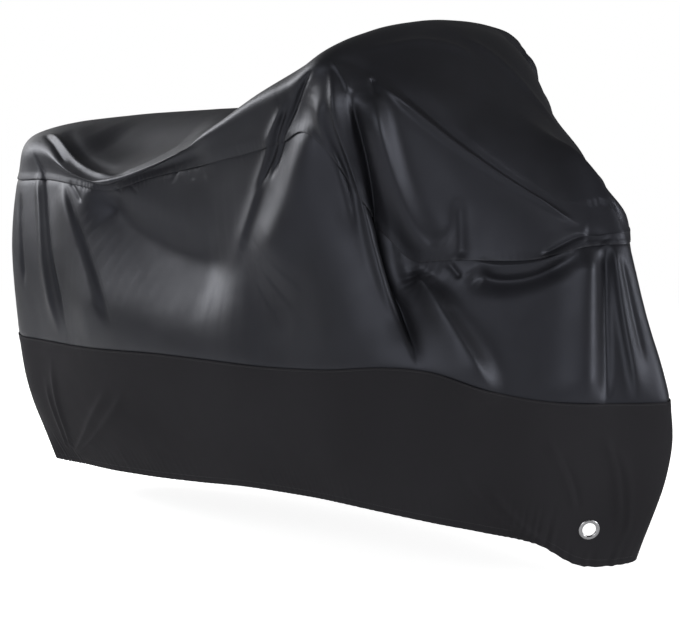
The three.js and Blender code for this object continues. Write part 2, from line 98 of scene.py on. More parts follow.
# %% Smooth surface
def smooth_track(knots, rows, at):
    """Cubic steps through rows at the knots. Each knot's slope is the mean of the slopes beside it, weighted
    by the opposite distances, and a step blends its two rows and two slopes by the Hermite weights."""
    gap = np.diff(knots)
    rise = np.diff(rows, axis=0) / gap[:, None]
    slope = np.empty_like(rows)
    slope[1:-1] = (rise[:-1] * gap[1:, None] + rise[1:] * gap[:-1, None]) / (gap[1:] + gap[:-1])[:, None]
    slope[0], slope[-1] = rise[0], rise[-1]
    i = np.clip(np.searchsorted(knots, at) - 1, 0, len(knots) - 2)
    s, g = ((at - knots[i]) / gap[i])[:, None], gap[i][:, None]
    return ((1 + 2 * s) * (1 - s) ** 2 * rows[i] + s * (1 - s) ** 2 * g * slope[i]
            + s * s * (3 - 2 * s) * rows[i + 1] + s * s * (s - 1) * g * slope[i + 1])


MIRROR = np.array([1, -1, 1])


def section_lines(places):
    """The seven level lines at each place, with the lines of the other side added past both ends."""
    knots = np.concatenate([-PLACES[2:0:-1], PLACES, 2 - PLACES[-2:-4:-1]])
    rows = np.concatenate([LINES[2:0:-1] * MIRROR, LINES, LINES[-2:-4:-1] * MIRROR])
    return smooth_track(knots, rows.reshape(len(knots), -1), places).reshape(-1, len(LEVELS), 3)


def smooth_cloth(side, places, levels):
    """Points [place, level] of the cloth before folds, in millimetres from the ground: each section's levels
    joined by the same cubic steps, beginning with the crest of the other side. side is -1 right, 1 left."""
    lines = section_lines(places)
    full = np.concatenate([lines[:, 1:2] * MIRROR, lines], axis=1)
    rows = full.transpose(1, 0, 2).reshape(len(LEVELS) + 1, -1)
    down = smooth_track(np.arange(-1.0, len(LEVELS)), rows, levels)
    points = down.reshape(len(levels), len(lines), 3).transpose(1, 0, 2)
    return points * np.array([1, side, 1])


def unit(vectors):
    """The vectors scaled to length one."""
    return vectors / np.maximum(np.linalg.norm(vectors, axis=-1, keepdims=True), 1e-9)


def outward(points, side):
    """The outward normal at each grid point: the step along the cloth crossed with the step down it."""
    along, down = np.gradient(points, axis=0), np.gradient(points, axis=1)
    return unit(np.cross(along, down)) * side


crown = smooth_cloth(1, np.array([0.69]), np.array([0.0]))[0, 0] - HANG_POINT
print("crown of the cloth above the origin, mm:", crown.round(1))

# %% [markdown]
# ## Folds
# Folds in a hung cover are pulled, not gathered: each runs in a line from a point that carries weight, such
# as a handlebar end, to where the cloth is free, and widens on the way. So a fold is a row: three spots that
# its line bends through, its half width at both ends, and its height, which is below zero for a trough. A
# sharp fold has a tight ridge with hollow flanks. One that leans is wider below or behind its line and
# steeper on the other side, and a negative lean turns that round.

# %% Folds
RIGHT_FOLDS = """
name              from        via         to          width  height sharp   lean
seat_sag          0.24  0.55  0.35  0.55  0.46  0.55   90  80   -14   0.0    0.0
tail_edge_crease  0.145 0.86  0.214 1.02  0.262 1.10    8   9    -5   0.3    0.0
rolled_edge       0.15  0.84  0.27  0.94  0.38  1.00    9  12     9   0.4    0.0
edge_trough       0.18  0.68  0.27  0.80  0.36  0.86   16  20    -5   0.0    0.0
seat_shoulder     0.355 0.98  0.44  0.80  0.55  0.50   14  40     9   0.2    0.3
seat_seam         0.49  1.88  0.585 1.88  0.675 1.92   45  55    15   0.0   -0.3
tail_slit         0.163 1.4   0.230 2.6   0.270 3.8     6   9    -8   0.4    0.0
tail_ridge_rear   0.178 1.9   0.222 2.8   0.250 3.9    14  22    10   0.3    0.3
tail_ridge_front  0.250 2.02  0.306 2.85  0.352 3.75   26  56    11   0.3   0.55
tail_trough       0.262 2.05  0.318 2.85  0.364 3.65    5   8    -5   0.4    0.0
tail_pocket       0.138 2.2   0.161 2.83  0.168 3.4    10  12    -8   0.3    0.0
tail_nick         0.272 2.03  0.287 2.13  0.304 2.30    6   7    -5   0.3    0.0
hollow_edge       0.322 1.97  0.405 2.66  0.57  2.80   50 130   -44   0.6   0.05
saddle_bulge      0.26  3.4   0.42  3.5   0.63  3.3    95 150    20   0.0    0.0
bar_slit          0.682 1.25  0.650 1.85  0.612 2.28    6  10   -12   0.5    0.0
bar_slit_rear     0.645 1.62  0.628 2.0   0.585 2.36    5  10    -8   0.4    0.0
bar_fold_small    0.648 1.5   0.605 2.17  0.535 2.85    8  24     8   0.4    0.2
bar_fold          0.694 1.2   0.680 2.12  0.56  2.95   46  95    36   0.2  -0.15
bar_streak        0.697 1.5   0.708 2.0   0.722 2.45   16  20     8   0.2    0.2
bar_line          0.694 1.10  0.732 1.95  0.760 3.2     9  18    15   0.5   -0.2
bar_line_short    0.694 1.06  0.712 1.15  0.726 1.24    7   7     7   0.5    0.0
main_valley       0.722 1.2   0.756 2.15  0.778 4.0    10  13   -28   0.4  -0.35
screen_fold       0.744 1.02  0.791 1.60  0.844 2.00   24  64    36   0.3   0.25
post_pocket       0.742 0.95  0.748 1.03  0.755 1.12    8   9    -8   0.3    0.0
screen_edge       0.749 0.97  0.85  1.06  0.958 1.07    8   9    15   0.5    0.0
screen_edge_in    0.76  0.88  0.85  0.96  0.95  0.97   11  12    -7   0.3    0.0
brow_line         0.694 1.02  0.75  0.90  0.86  0.90   16  30    -5   0.2    0.0
screen_brow       0.712 0.82  0.755 0.38  0.805 0.0    16  16     6   0.5    0.0
seam_notch        0.832 2.03  0.840 2.16  0.846 2.34    9   8    -6   0.3    0.0
fork_band         0.806 2.05  0.817 3.0   0.856 4.2    22  54    36  0.25    0.3
seam_pocket       0.847 1.45  0.847 1.75  0.848 2.05   16  20    -9   0.0    0.0
sag_lip           0.862 2.00  0.888 2.12  0.955 1.99    9   9     5   0.3    0.0
sag               0.860 2.12  0.889 2.42  0.957 2.06   22  18   -25   0.2    0.3
seam_slash        0.912 1.99  0.936 1.86  0.962 1.6     7   7    -7   0.3    0.0
nose_patch        0.955 1.5   0.967 1.8   0.975 2.05   18  18    -7   0.0    0.0
nose_ridge        0.958 2.0   0.947 3.05  0.934 4.15   36  56    25   0.1    0.2
nose_valley       0.974 2.0   0.964 3.05  0.952 4.05   12  18   -14   0.4    0.3
nose_front        0.982 2.0   0.978 2.9   0.976 4.1    12  22    14   0.3   -0.4
nose_nick         0.986 2.2   0.986 2.9   0.985 3.6     6   8    -6   0.3    0.0
lock_crease_rear  0.901 4.4   0.926 5.1   0.939 5.5    14   6     5   0.6    0.3
lock_crease_mid   0.908 4.65  0.932 5.15  0.943 5.5    12   6    -4   0.4    0.0
lock_crease_front 0.950 4.3   0.966 5.06  0.979 5.8    14   7     5   0.6    0.3
lock_crease_nose  0.960 4.5   0.975 5.17  0.984 5.8    12   6     4   0.6    0.0
wheel_fan         0.177 5.85  0.262 5.34  0.341 4.5     6  22     6   0.6    0.3
wheel_fan_low     0.180 5.87  0.290 5.32  0.370 4.5     6  20     5   0.6    0.3
wheel_fan_rear    0.174 5.85  0.215 5.16  0.221 4.1     6  18     6   0.6    0.0
wheel_fan_tail    0.163 5.85  0.194 5.27  0.200 4.5     6  16     5   0.6    0.0
fork_fan          0.814 5.1   0.858 5.66  0.913 5.95   14   6     5   0.6    0.0
fork_fan_low      0.849 5.3   0.885 5.75  0.920 5.95   12   6     5   0.6    0.0
pucker_a          0.458 2.18  0.466 2.06  0.476 1.95    5   5  -2.2   0.3    0.0
pucker_b          0.477 1.97  0.485 2.08  0.493 2.18    5   5  -2.2   0.3    0.0
pucker_c          0.498 1.99  0.504 2.08  0.511 2.18    5   5  -1.8   0.3    0.0
pucker_d          0.388 2.03  0.395 2.11  0.402 2.20    5   5  -2.2   0.3    0.0
pucker_e          0.360 1.99  0.366 2.06  0.372 2.14    5   5  -2.2   0.3    0.0
"""
LEFT_FOLDS = """
name              from        via         to          width  height sharp   lean
seat_sag          0.20  0.5   0.33  0.6   0.48  0.6    80  90   -12   0.0    0.0
screen_brow       0.765 0.0   0.815 0.3   0.875 0.62   16  16     6   0.5    0.0
narrow_screen     0.68  0.9   0.76  1.0   0.88  1.0    90 100   -34   0.0    0.0
screen_shoulder   0.89  0.95  0.95  0.9   1.0   0.9    60  60    22   0.0    0.0
rolled_edge       0.17  0.98  0.30  1.00  0.42  1.00    9  12     7   0.5    0.0
tail_corner       0.17  1.9   0.185 2.8   0.21  3.8    20  34    12   0.5    0.2
tail_hollow       0.21  1.8   0.235 2.7   0.27  3.7    18  42   -16   0.2    0.0
tail_fan          0.245 1.9   0.31  2.8   0.41  3.6    12  32    15   0.7    0.3
tail_pleat        0.228 2.3   0.25  3.2   0.285 3.9     9  18     7   0.8    0.3
hollow_under_seat 0.39  2.2   0.46  2.5   0.55  2.6    60  85   -30   0.0    0.0
hollow_lip        0.35  2.2   0.42  2.8   0.53  3.1    20  60    13   0.4   -0.4
bar_slit          0.672 1.1   0.642 1.90  0.60  2.4    10  22   -16   0.4   -0.3
bar_fold          0.685 1.1   0.66  2.0   0.58  3.0    13  46    24   0.6    0.2
bar_fold_rear     0.65  1.6   0.61  2.2   0.55  3.0    10  36    12   0.6    0.0
main_ridge        0.69  1.05  0.728 2.0   0.75  3.9    14  28    26   0.7    0.4
main_valley       0.729 1.2   0.75  2.0   0.768 3.6    15  34   -32   0.4    0.2
screen_fold       0.742 1.1   0.80  1.5   0.87  1.9    12  30    16   0.7    0.0
fork_band         0.80  2.1   0.84  2.8   0.875 3.7    18  40    18   0.5    0.0
fork_trough       0.79  2.4   0.80  3.0   0.815 3.7    22  40   -11   0.0    0.0
sag               0.87  2.0   0.90  2.25  0.955 2.0    13  12   -16   0.4    0.0
sag_roll          0.87  2.35  0.90  2.5   0.95  2.2    10   9     9   0.7    0.0
nose_stripe       0.96  2.1   0.948 3.2   0.935 4.05   12  30    20   0.5    0.0
nose_trough       0.978 2.2   0.972 3.1   0.965 3.9    10  22   -10   0.2    0.0
lock_crease_rear  0.945 5.3   0.93  4.95  0.905 4.4     6  18     5   0.7    0.0
lock_crease_front 0.962 5.3   0.962 4.9   0.964 4.4     6  16     5   0.7    0.0
wheel_fan         0.19  5.8   0.27  5.2   0.35  4.5     9  30     8   0.7    0.0
wheel_fan_rear    0.18  5.8   0.23  5.1   0.26  4.4     8  22     6   0.7    0.0
"""
print("fold rows:", len(table_rows(RIGHT_FOLDS)), "right,", len(table_rows(LEFT_FOLDS)), "left")

# %% [markdown]
# ## How a fold lifts the cloth
# A crease could be pushed in by sculpting, or left to a cloth simulation. Here each fold is a rounded profile
# across a line, like the section of a moulding: the height that it adds depends only on how far a point is
# from the line, so a fold can be made wider, lower or sharper by one number in its row. Heights simply add
# up where folds cross.

# %% Fold heights
FOLD_STEPS = 20           # straight steps along a fold's bent line
FOLD_ENDS = 0.22          # share of its length over which a fold rises and dies away
FOLD_REACH = 3.2          # half widths from its line at which a fold is as good as flat
SHARP_TIP = 0.3           # how round the very top of a sharp fold is, in half widths


def fold_rows(text, side):
    """Each fold as a dict, with its bent line worked out as points on the smooth cloth."""
    folds = []
    for name, *words in table_rows(text):
        n = np.array(words, float)
        start, via, end = n[0:2], n[2:4], n[4:6]
        t = np.linspace(0, 1, FOLD_STEPS + 1)[:, None]
        pull = 2 * via - (start + end) / 2
        spots = (1 - t) ** 2 * start + 2 * t * (1 - t) * pull + t * t * end
        line = np.array([smooth_cloth(side, s[:1], s[1:])[0, 0] for s in spots])
        folds.append(dict(name=name, side=side, line=line, width=n[6:8], height=n[8], sharp=n[9], lean=n[10]))
    return folds


def smooth_step(t):
    """0 below 0, 1 above 1, and 3tt - 2ttt between."""
    t = np.clip(t, 0, 1)
    return t * t * (3 - 2 * t)


def fold_heights(fold, points, normals):
    """The height that one fold gives each point: its height, faded at both ends, times a profile of the
    distance from its line over its width. A soft profile is exp(-xx). A sharp one is exp(-1.5(r - k)),
    where r is the root of xx + kk: a tight ridge with hollow flanks."""
    line = fold["line"]
    reach = FOLD_REACH * fold["width"].max()
    near = np.all((points > line.min(0) - reach) & (points < line.max(0) + reach), axis=-1)
    out = np.zeros(points.shape[:-1])
    p = points[near]
    best = np.full(len(p), np.inf)
    where, under = np.zeros(len(p)), np.zeros(len(p))
    for k, (a, b) in enumerate(zip(line[:-1], line[1:])):
        step = b - a
        t = np.clip((p - a) @ step / (step @ step), 0, 1)
        off = p - (a + t[:, None] * step)
        d = np.linalg.norm(off, axis=1)
        closer = d < best
        best = np.where(closer, d, best)
        where = np.where(closer, (k + t) / FOLD_STEPS, where)
        turn = fold["side"] * np.einsum("ij,ij->i", np.cross(step, off), normals[near])
        under = np.where(closer, np.sign(turn), under)
    width = fold["width"][0] + (fold["width"][1] - fold["width"][0]) * where
    x = best / (width * (1 + fold["lean"] * under))
    sharp = np.exp(-1.5 * (np.hypot(x, SHARP_TIP) - SHARP_TIP))
    profile = fold["sharp"] * sharp + (1 - fold["sharp"]) * np.exp(-x * x)
    out[near] = fold["height"] * profile * smooth_step(np.minimum(where, 1 - where) / FOLD_ENDS)
    return out


FOLDS = {-1: fold_rows(RIGHT_FOLDS, -1), 1: fold_rows(LEFT_FOLDS, 1)}
deepest = min((fold for side in FOLDS.values() for fold in side), key=lambda fold: fold["height"])
print("deepest trough:", deepest["name"], deepest["height"], "mm")

# %% [markdown]
# ## Small unevenness
# No hung cloth is even between its folds. A few long waves with fixed random directions give the slow
# unevenness, and the seams pucker because two lengths of cloth are sewn to one thread. An elastic pulls the
# hem into gathers at both wheels. All of it is shape, not only shading, because it breaks up the highlights.

# %% Unevenness
LONG_WAVES, SHORT_WAVES = (1.2, (160, 420), 3), (0.2, (50, 110), 4) # height, lengths in mm, and seed
PUCKERED, PUCKER_REACH = (0.315, 0.42, 0.455), 0.022                # places fed unevenly, and their reach
PUCKER_ROWS = [(2, 0.2, 2.0), (4, 0.1, 0.6)]                        # a seam's level, reach and height
GATHER_TOP, GATHER_RISE, GATHER_HEIGHT = 5.3, 0.7, 1.5              # first level, levels to full height


def waves(points, lengths, seed, count=10):
    """A sum of sine waves over the points, about -1 to 1, with random directions, phases and wavelengths."""
    rng = np.random.default_rng(seed)
    total = np.zeros(points.shape[:-1])
    for _ in range(count):
        direction = unit(rng.normal(size=3))
        length = rng.uniform(*lengths)
        total += np.sin(points @ direction * (2 * np.pi / length) + rng.uniform(0, 2 * np.pi))
    return total / np.sqrt(2 * count)


def middle_fade(places):
    """0 on the middle lines of tail and nose, 1 a little away from them."""
    return smooth_step(np.minimum(places, 1 - places) / 0.02)


def near_level(levels, target, reach):
    """1 on a level line, fading to 0 at reach levels away."""
    return smooth_step(1 - np.abs(levels - target) / reach)


def puckers(places, levels, seed):
    """Short ripples beside the seams, along the cloth: faint all along, and strong at the few places where
    the cloth was fed unevenly. They die away at the middle lines, where the two sides meet."""
    rng = np.random.default_rng(seed)
    phase = np.interp(places, np.linspace(0, 1, 60), np.cumsum(rng.uniform(0.4, 1.6, 60)))
    strength = 0.1 + 0.6 * sum(np.exp(-((places - at) / PUCKER_REACH) ** 2) for at in PUCKERED)
    ripple = np.sin(phase * 16) * strength * middle_fade(places)
    beside = sum(height * near_level(levels, seam, reach) for seam, reach, height in PUCKER_ROWS)
    return ripple[:, None] * beside[None, :]


def gathers(places, levels, seed):
    """The hem's gathers: ripples that fade out upwards, strong round the wheels and weak between them."""
    rng = np.random.default_rng(seed)
    phase = np.interp(places, np.linspace(0, 1, 80), np.cumsum(rng.uniform(0.5, 1.5, 80)))
    ripple = np.sin(phase * 9.5) + 0.4 * np.sin(phase * 15 + 1)
    wheels = 0.25 + smooth_step((0.24 - places) / 0.12) + smooth_step((places - 0.84) / 0.08)
    growth = smooth_step((levels - GATHER_TOP) / GATHER_RISE)
    return GATHER_HEIGHT * (ripple * wheels * middle_fade(places))[:, None] * growth[None, :]


print("highest pucker, mm: %.1f" % np.abs(puckers(np.linspace(0, 1, 500), np.array([2.0]), 5)).max())

# %% [markdown]
# ## One net for the whole cover
# Every panel is cut from the same folded surface, so neighbours always meet. The grid lines are closer where
# the folds crowd, at the handlebar and the tail. Eyelets are stiff, so the cloth lies flat around them.

# %% Folded cloth
EYELET_PLACE, EYELET_LEVEL = 0.955, 5.62
FLAT_RADIUS, FADE_RADIUS = 34.0, 110.0        # the cloth is flat inside one and untouched outside the other
MIDDLE_LAP = 0.4                              # how far each half reaches past the middle seam


def eyelet_seat(side):
    """The eyelet's middle and the way it faces, on the smooth cloth."""
    places, levels = EYELET_PLACE + np.array([-0.02, 0, 0.02]), EYELET_LEVEL + np.array([-0.2, 0, 0.2])
    around = smooth_cloth(side, places, levels)
    normal = unit(np.cross(around[2, 1] - around[0, 1], around[1, 2] - around[1, 0])) * side
    return around[1, 1], normal


def folded_cloth(side, places, levels):
    """Points and outward normals of the hung cloth: the smooth cloth moved along its normals by folds,
    unevenness, puckers and gathers, then pressed to each eyelet's plane near the eyelet. The two halves
    face straight back or straight ahead where they meet, and lap a little, so that no light comes through."""
    smooth = smooth_cloth(side, places, levels)
    normals = outward(smooth, side)
    height = sum(fold_heights(fold, smooth, normals) for s in (-1, 1) for fold in FOLDS[s])
    height += sum(size * waves(smooth, lengths, seed) for size, lengths, seed in (LONG_WAVES, SHORT_WAVES))
    height += puckers(places, levels, 5 + side) + gathers(places, levels, 9 + side)
    points = smooth + height[..., None] * normals
    for s in (-1, 1):
        centre, facing = eyelet_seat(s)
        off = points - centre
        press = smooth_step((FADE_RADIUS - np.linalg.norm(off, axis=-1)) / (FADE_RADIUS - FLAT_RADIUS))
        points -= (press * (off @ facing))[..., None] * facing
    normals = outward(points, side)
    ends = (places <= 0) | (places >= 1)
    normals[ends, :, 1] = 0
    points[ends, :, 1] = -MIDDLE_LAP * side
    return points, unit(normals)


def spread(spans):
    """Grid values from spans of (start, end, steps), each evenly divided."""
    return np.concatenate([np.linspace(a, b, n, endpoint=False) for a, b, n in spans] + [[spans[-1][1]]])


FINE_PLACES = spread([(0, 0.16, 60), (0.16, 0.42, 125), (0.42, 0.56, 50), (0.56, 0.88, 200), (0.88, 1, 75)])
COARSE_PLACES = spread([(0, 0.16, 45), (0.16, 0.42, 80), (0.42, 0.56, 35), (0.56, 0.88, 115), (0.88, 1, 50)])
print("lines across the cloth:", len(FINE_PLACES), "right,", len(COARSE_PLACES), "left")

# %% [markdown]
# ## From a grid to a mesh
# A panel is a grid of points with an edge at its top and bottom. Real edges are turned under and lap over
# their neighbour, so each edge gets a few more rows: so far down the cloth, and so far proud of it. The edge
# could be left raw, but the shadow under a lap is what draws a seam on black cloth. UVs are the length along
# the cloth and down it in metres, so a weave keeps its size wherever the panel goes.

# %% Mesh helpers
def edge_rows(points, normals, row, rows):
    """Extra rows beside grid row `row`: each (drop, lift) is the row's points moved drop down the cloth along
    its own slope, and lift outwards, in millimetres."""
    step = 1 if row == 0 else -1
    slope = unit((points[:, row + step] - points[:, row]) * step)
    return [points[:, row] + drop * slope + lift * normals[:, row] for drop, lift in rows]


def join_rows(before, points, after):
    """The grid with extra rows put before and after it."""
    parts = [np.stack(before, axis=1)] if before else []
    return np.concatenate(parts + [points] + ([np.stack(after, axis=1)] if after else []), axis=1)


def grid_faces(lines, rows):
    """Four corners of each cell of a grid whose points are numbered along each line in turn."""
    at = np.arange(lines * rows).reshape(lines, rows)
    return np.stack([at[:-1, :-1], at[1:, :-1], at[1:, 1:], at[:-1, 1:]], axis=-1).reshape(-1, 4)


def cloth_lengths(points):
    """UV of each grid point: mean length along the cloth between lines, and length down it, in metres."""
    along = np.linalg.norm(np.diff(points, axis=0), axis=-1).mean(axis=1)
    down = np.linalg.norm(np.diff(points, axis=1), axis=-1)
    u = np.repeat(np.concatenate([[0], np.cumsum(along)])[:, None], points.shape[1], axis=1)
    v = np.concatenate([np.zeros((len(points), 1)), np.cumsum(down, axis=1)], axis=1)
    return np.stack([u, v], axis=-1) * MM


def to_mesh(name, points, faces, uv=None):
    """A smooth-shaded object at the origin from points in millimetres from the ground and quads."""
    used = np.unique(faces)
    number = np.full(points.shape[0], -1)
    number[used] = np.arange(len(used))
    faces = number[faces]
    mesh = bpy.data.meshes.new(name)
    mesh.from_pydata(((points[used] - HANG_POINT) * MM).tolist(), [], faces.tolist())
    if uv is not None:
        layer = mesh.uv_layers.new(name="cloth")
        layer.data.foreach_set("uv", uv[used][faces].ravel())
    mesh.polygons.foreach_set("use_smooth", np.ones(len(mesh.polygons), bool))
    mesh.update()
    piece = bpy.data.objects.new(name, mesh)
    bpy.context.scene.collection.objects.link(piece)
    return piece


def facing_out(faces, side):
    """Quads turned to face outwards: along the cloth crossed with down it points out on the left only."""
    return faces if side > 0 else faces[:, ::-1]


def surface_of(piece):
    """The mesh's area in square metres and its triangle count."""
    mesh = piece.data
    area = np.empty(len(mesh.polygons))
    mesh.polygons.foreach_get("area", area)
    mesh.calc_loop_triangles()
    return float(area.sum()), len(mesh.loop_triangles)


# %% [markdown]
# ## Top panel
# One panel covers the seat, the handlebar and the windshield, and laps the side panels by about 6 mm. Both
# sides are worked out apart and joined along the ridge, so that the panel is one unbroken sheet with no seam
# down the middle. At the tail and the nose its two halves close on the middle line.

# %% Top panel
TOP_LEVELS = spread([(0, 0.75, 20), (0.75, 1.2, 30), (1.2, 1.9, 30), (1.9, 2, 8)])
TOP_LIFT = 0.9                                # how far it stands proud of the side panels
TOP_EDGE = [(3, 0.9), (5.6, 0.9), (6.6, 0.7), (6.9, 0.3), (6.4, 0.1)]


def top_half(side, places):
    """One side of the top panel from the ridge to its lapped edge, a little proud near the seam."""
    points, normals = folded_cloth(side, places, TOP_LEVELS)
    points = points + (TOP_LIFT * smooth_step((TOP_LEVELS - 1.9) / 0.1))[None, :, None] * normals
    return join_rows([], points, edge_rows(points, normals, -1, [(d, h - TOP_LIFT) for d, h in TOP_EDGE]))


def top_panel(places):
    """Both halves as one grid from the right edge over the ridge to the left edge, with the tail and nose
    lines of the two halves made the same, then merged."""
    right, left = top_half(-1, places), top_half(1, places)
    for end in (0, -1):
        middle = (right[end] + left[end]) / 2
        middle[:, 1] = 0
        right[end] = left[end] = middle
    ridge = (right[:, :1] + left[:, :1]) / 2
    points = np.concatenate([right[:, :0:-1], ridge, left[:, 1:]], axis=1)
    uv = cloth_lengths(points)
    faces = grid_faces(*points.shape[:2])
    rows = points.shape[1]
    flip = np.arange(points.shape[0] * rows).reshape(-1, rows)
    for end in (0, -1):
        half = rows // 2
        flip[end, :half] = flip[end, :half:-1]
    return to_mesh("top_panel_cloth", points.reshape(-1, 3), flip.ravel()[faces], uv.reshape(-1, 2))


top_cloth = top_panel(FINE_PLACES)
print("top panel: %.3f m2, %d triangles" % surface_of(top_cloth))

# %% [markdown]
# ## Side panels
# The side panels hang from the side seam to the skirt seam. A row of stitches draws the cloth in, so a sewn
# cover has a shallow groove beside each seam, and on black cloth that groove is the dark line that the eye
# takes for the seam. It could be a painted line, but a real groove holds from every side. Under each seam the
# lower layer runs on a little, out of sight, as a seam allowance does.

# %% Side panels
SIDE_LEVELS = spread([(2, 2.3, 26), (2.3, 3.2, 50), (3.2, 3.9, 28), (3.9, 4, 9)])
SEAM_SINK, SINK_WIDTHS = 2.8, (0.08, 0.06)    # depth of the grooves, and their widths in levels
SIDE_TOP = [(-5, -0.4), (-2.5, -0.2)]
SIDE_FOOT = [(3, -0.3), (6, -0.5)]
SIDES = {"right": (-1, FINE_PLACES), "left": (1, COARSE_PLACES)}


def side_panel(name, side, places):
    """The glossy cloth of one side, sunk towards the seam above and the seam below by exp(-xx) of the
    distance over the groove's width, and drawn in a little under both."""
    points, normals = folded_cloth(side, places, SIDE_LEVELS)
    above, below = (SIDE_LEVELS - 2) / SINK_WIDTHS[0], (4 - SIDE_LEVELS) / SINK_WIDTHS[1]
    sink = np.exp(-above ** 2) + np.exp(-below ** 2)
    points = points - SEAM_SINK * sink[None, :, None] * normals
    top, foot = edge_rows(points, normals, 0, SIDE_TOP), edge_rows(points, normals, -1, SIDE_FOOT)
    points = join_rows(top, points, foot)
    faces = facing_out(grid_faces(*points.shape[:2]), side)
    return to_mesh(name, points.reshape(-1, 3), faces, cloth_lengths(points).reshape(-1, 2))


side_cloth = {word: side_panel("side_panel_cloth_" + word, *how) for word, how in SIDES.items()}
for piece in side_cloth.values():
    print(piece.name, "%.3f m2, %d triangles" % surface_of(piece))

# %% [markdown]
# ## Skirt
# The skirt is matt cloth sewn over the lower edge of the side panel, and its own lower edge is turned in
# round an elastic. Its upper edge shows as a rolled lip, so it stands proud by a fraction more than its
# thickness. The hole for the eyelet could be cut with a boolean, but moving the nearest points onto the
# circle keeps the grid and its UVs, and the metal rim covers the rest.

# %% Skirt
SKIRT_LEVELS = spread([(4, 4.12, 8), (4.12, 5.2, 40), (5.2, 6, 48)])
SKIRT_LIFT, LIFT_FADE = 1.6, 0.12             # how far proud its lip stands, fading over so many levels
SKIRT_LAP = [(-7.4, 0.3), (-8.4, 0.6), (-8.8, 1.2), (-8.2, 1.8), (-7.2, 2.0), (-4, 1.5), (-2, 1.3)]
HEM_TURN = [(2.2, -0.6), (3.4, -2.0), (3.4, -3.6), (2.2, -5.0), (-2, -5.6), (-10, -5.2), (-18, -4.6)]
HOLE_RADIUS, HOLE_DEPTH = 19.5, 15            # the cut round the barrel, and how thick a slab it is sought in


def skirt(name, side, places):
    """The matt cloth of one side, lapped over the side panel, with a hole for the eyelet's barrel: cells
    inside the circle go, and the points left inside it move out to it."""
    points, normals = folded_cloth(side, places, SKIRT_LEVELS)
    lift = SKIRT_LIFT * smooth_step((4.12 - SKIRT_LEVELS) / LIFT_FADE)
    points = points + lift[None, :, None] * normals
    lap = [(drop, proud - SKIRT_LIFT) for drop, proud in SKIRT_LAP]
    points = join_rows(edge_rows(points, normals, 0, lap), points, edge_rows(points, normals, -1, HEM_TURN))
    uv = cloth_lengths(points).reshape(-1, 2)
    faces = grid_faces(*points.shape[:2])
    points = points.reshape(-1, 3)
    centre, facing = eyelet_seat(side)
    off = points - centre
    off -= (off @ facing)[:, None] * facing
    beside = np.abs((points - centre) @ facing) < HOLE_DEPTH
    radius = np.where(beside, np.linalg.norm(off, axis=1), np.inf)
    inside = radius < HOLE_RADIUS
    faces = faces[~inside[faces].all(axis=1)]
    points[inside] += off[inside] * (HOLE_RADIUS / np.maximum(radius[inside], 1e-6) - 1)[:, None]
    return to_mesh(name, points, facing_out(faces, side), uv)


skirt_cloth = {word: skirt("skirt_cloth_" + word, *how) for word, how in SIDES.items()}
for piece in skirt_cloth.values():
    print(piece.name, "%.3f m2, %d triangles" % surface_of(piece))

# %% [markdown]
# ## Stitches
# Each lap is held by a row of thread stitches, about 5 mm from one to the next, and so is the elastic casing.
# A curve with an array could place them, but one stitch repeated by whole-array sums is quicker: a little
# hump with flat ends, laid along the seam and turned with the cloth.

# %% Stitches
STITCH = np.array([[-1, -1, 0], [-1, 1, 0], [-0.4, -0.7, 1], [-0.4, 0.7, 1],
                   [0.4, -0.7, 1], [0.4, 0.7, 1], [1, -1, 0], [1, 1, 0]], float)
STITCH_FACES = np.array([[0, 2, 3, 1], [2, 4, 5, 3], [4, 6, 7, 5], [0, 6, 4, 2], [1, 3, 5, 7]])
STITCH_SIZE = np.array([1.7, 0.45, 0.5])      # half length, half width and height
STITCH_PITCH = 5.0
DENSE_PLACES = np.linspace(0.004, 0.996, 1200)


def read_off(rows, length, at):
    """Vectors read off at some lengths along the line that they belong to."""
    return np.stack([np.interp(at, length, rows[:, c]) for c in range(3)], axis=1)


def stitch_row(side, level, drop, lift):
    """Stitches at even lengths along a level line: the unit stitch scaled, turned to the seam's own three
    directions, and moved to its place, for all stitches at once."""
    band = np.array([level - 0.02, level, level + 0.02])
    points, normals = folded_cloth(side, DENSE_PLACES, band)
    slope = unit(points[:, 2] - points[:, 0])
    line = points[:, 1] + drop * slope + lift * normals[:, 1]
    length = np.concatenate([[0], np.cumsum(np.linalg.norm(np.diff(line, axis=0), axis=1))])
    at = np.arange(STITCH_PITCH, length[-1], STITCH_PITCH)
    middle, out = read_off(line, length, at), unit(read_off(normals[:, 1], length, at))
    ahead = unit(read_off(np.gradient(line, axis=0), length, at))
    across = np.cross(out, ahead)
    turn = np.stack([ahead, across, out], axis=1)
    spots = middle[:, None] + np.einsum("kc,ncx->nkx", STITCH * STITCH_SIZE, turn)
    faces = STITCH_FACES[None] + np.arange(len(at))[:, None, None] * len(STITCH)
    return spots.reshape(-1, 3), faces.reshape(-1, 4)


def stitches(name, side, rows):
    """Several stitch rows as one mesh."""
    points, faces = zip(*[stitch_row(side, *row) for row in rows])
    before = np.cumsum([0] + [len(p) for p in points[:-1]])
    return to_mesh(name, np.concatenate(points), np.concatenate([f + n for f, n in zip(faces, before)]))


SEAM_ROWS = [(2.0, 3.5, 0.95)]                # level, drop below it and lift
SKIRT_ROWS = [(4.0, -4.0, 1.5), (6.0, -17.0, 0.1)]
top_stitches = {word: stitches("seam_stitches_" + word, side, SEAM_ROWS) for word, (side, _) in SIDES.items()}
skirt_stitches = {word: stitches("skirt_stitches_" + word, side, SKIRT_ROWS)
                  for word, (side, _) in SIDES.items()}
sewn = [*top_stitches.values(), *skirt_stitches.values()]
print("stitches:", sum(surface_of(piece)[1] for piece in sewn), "triangles")

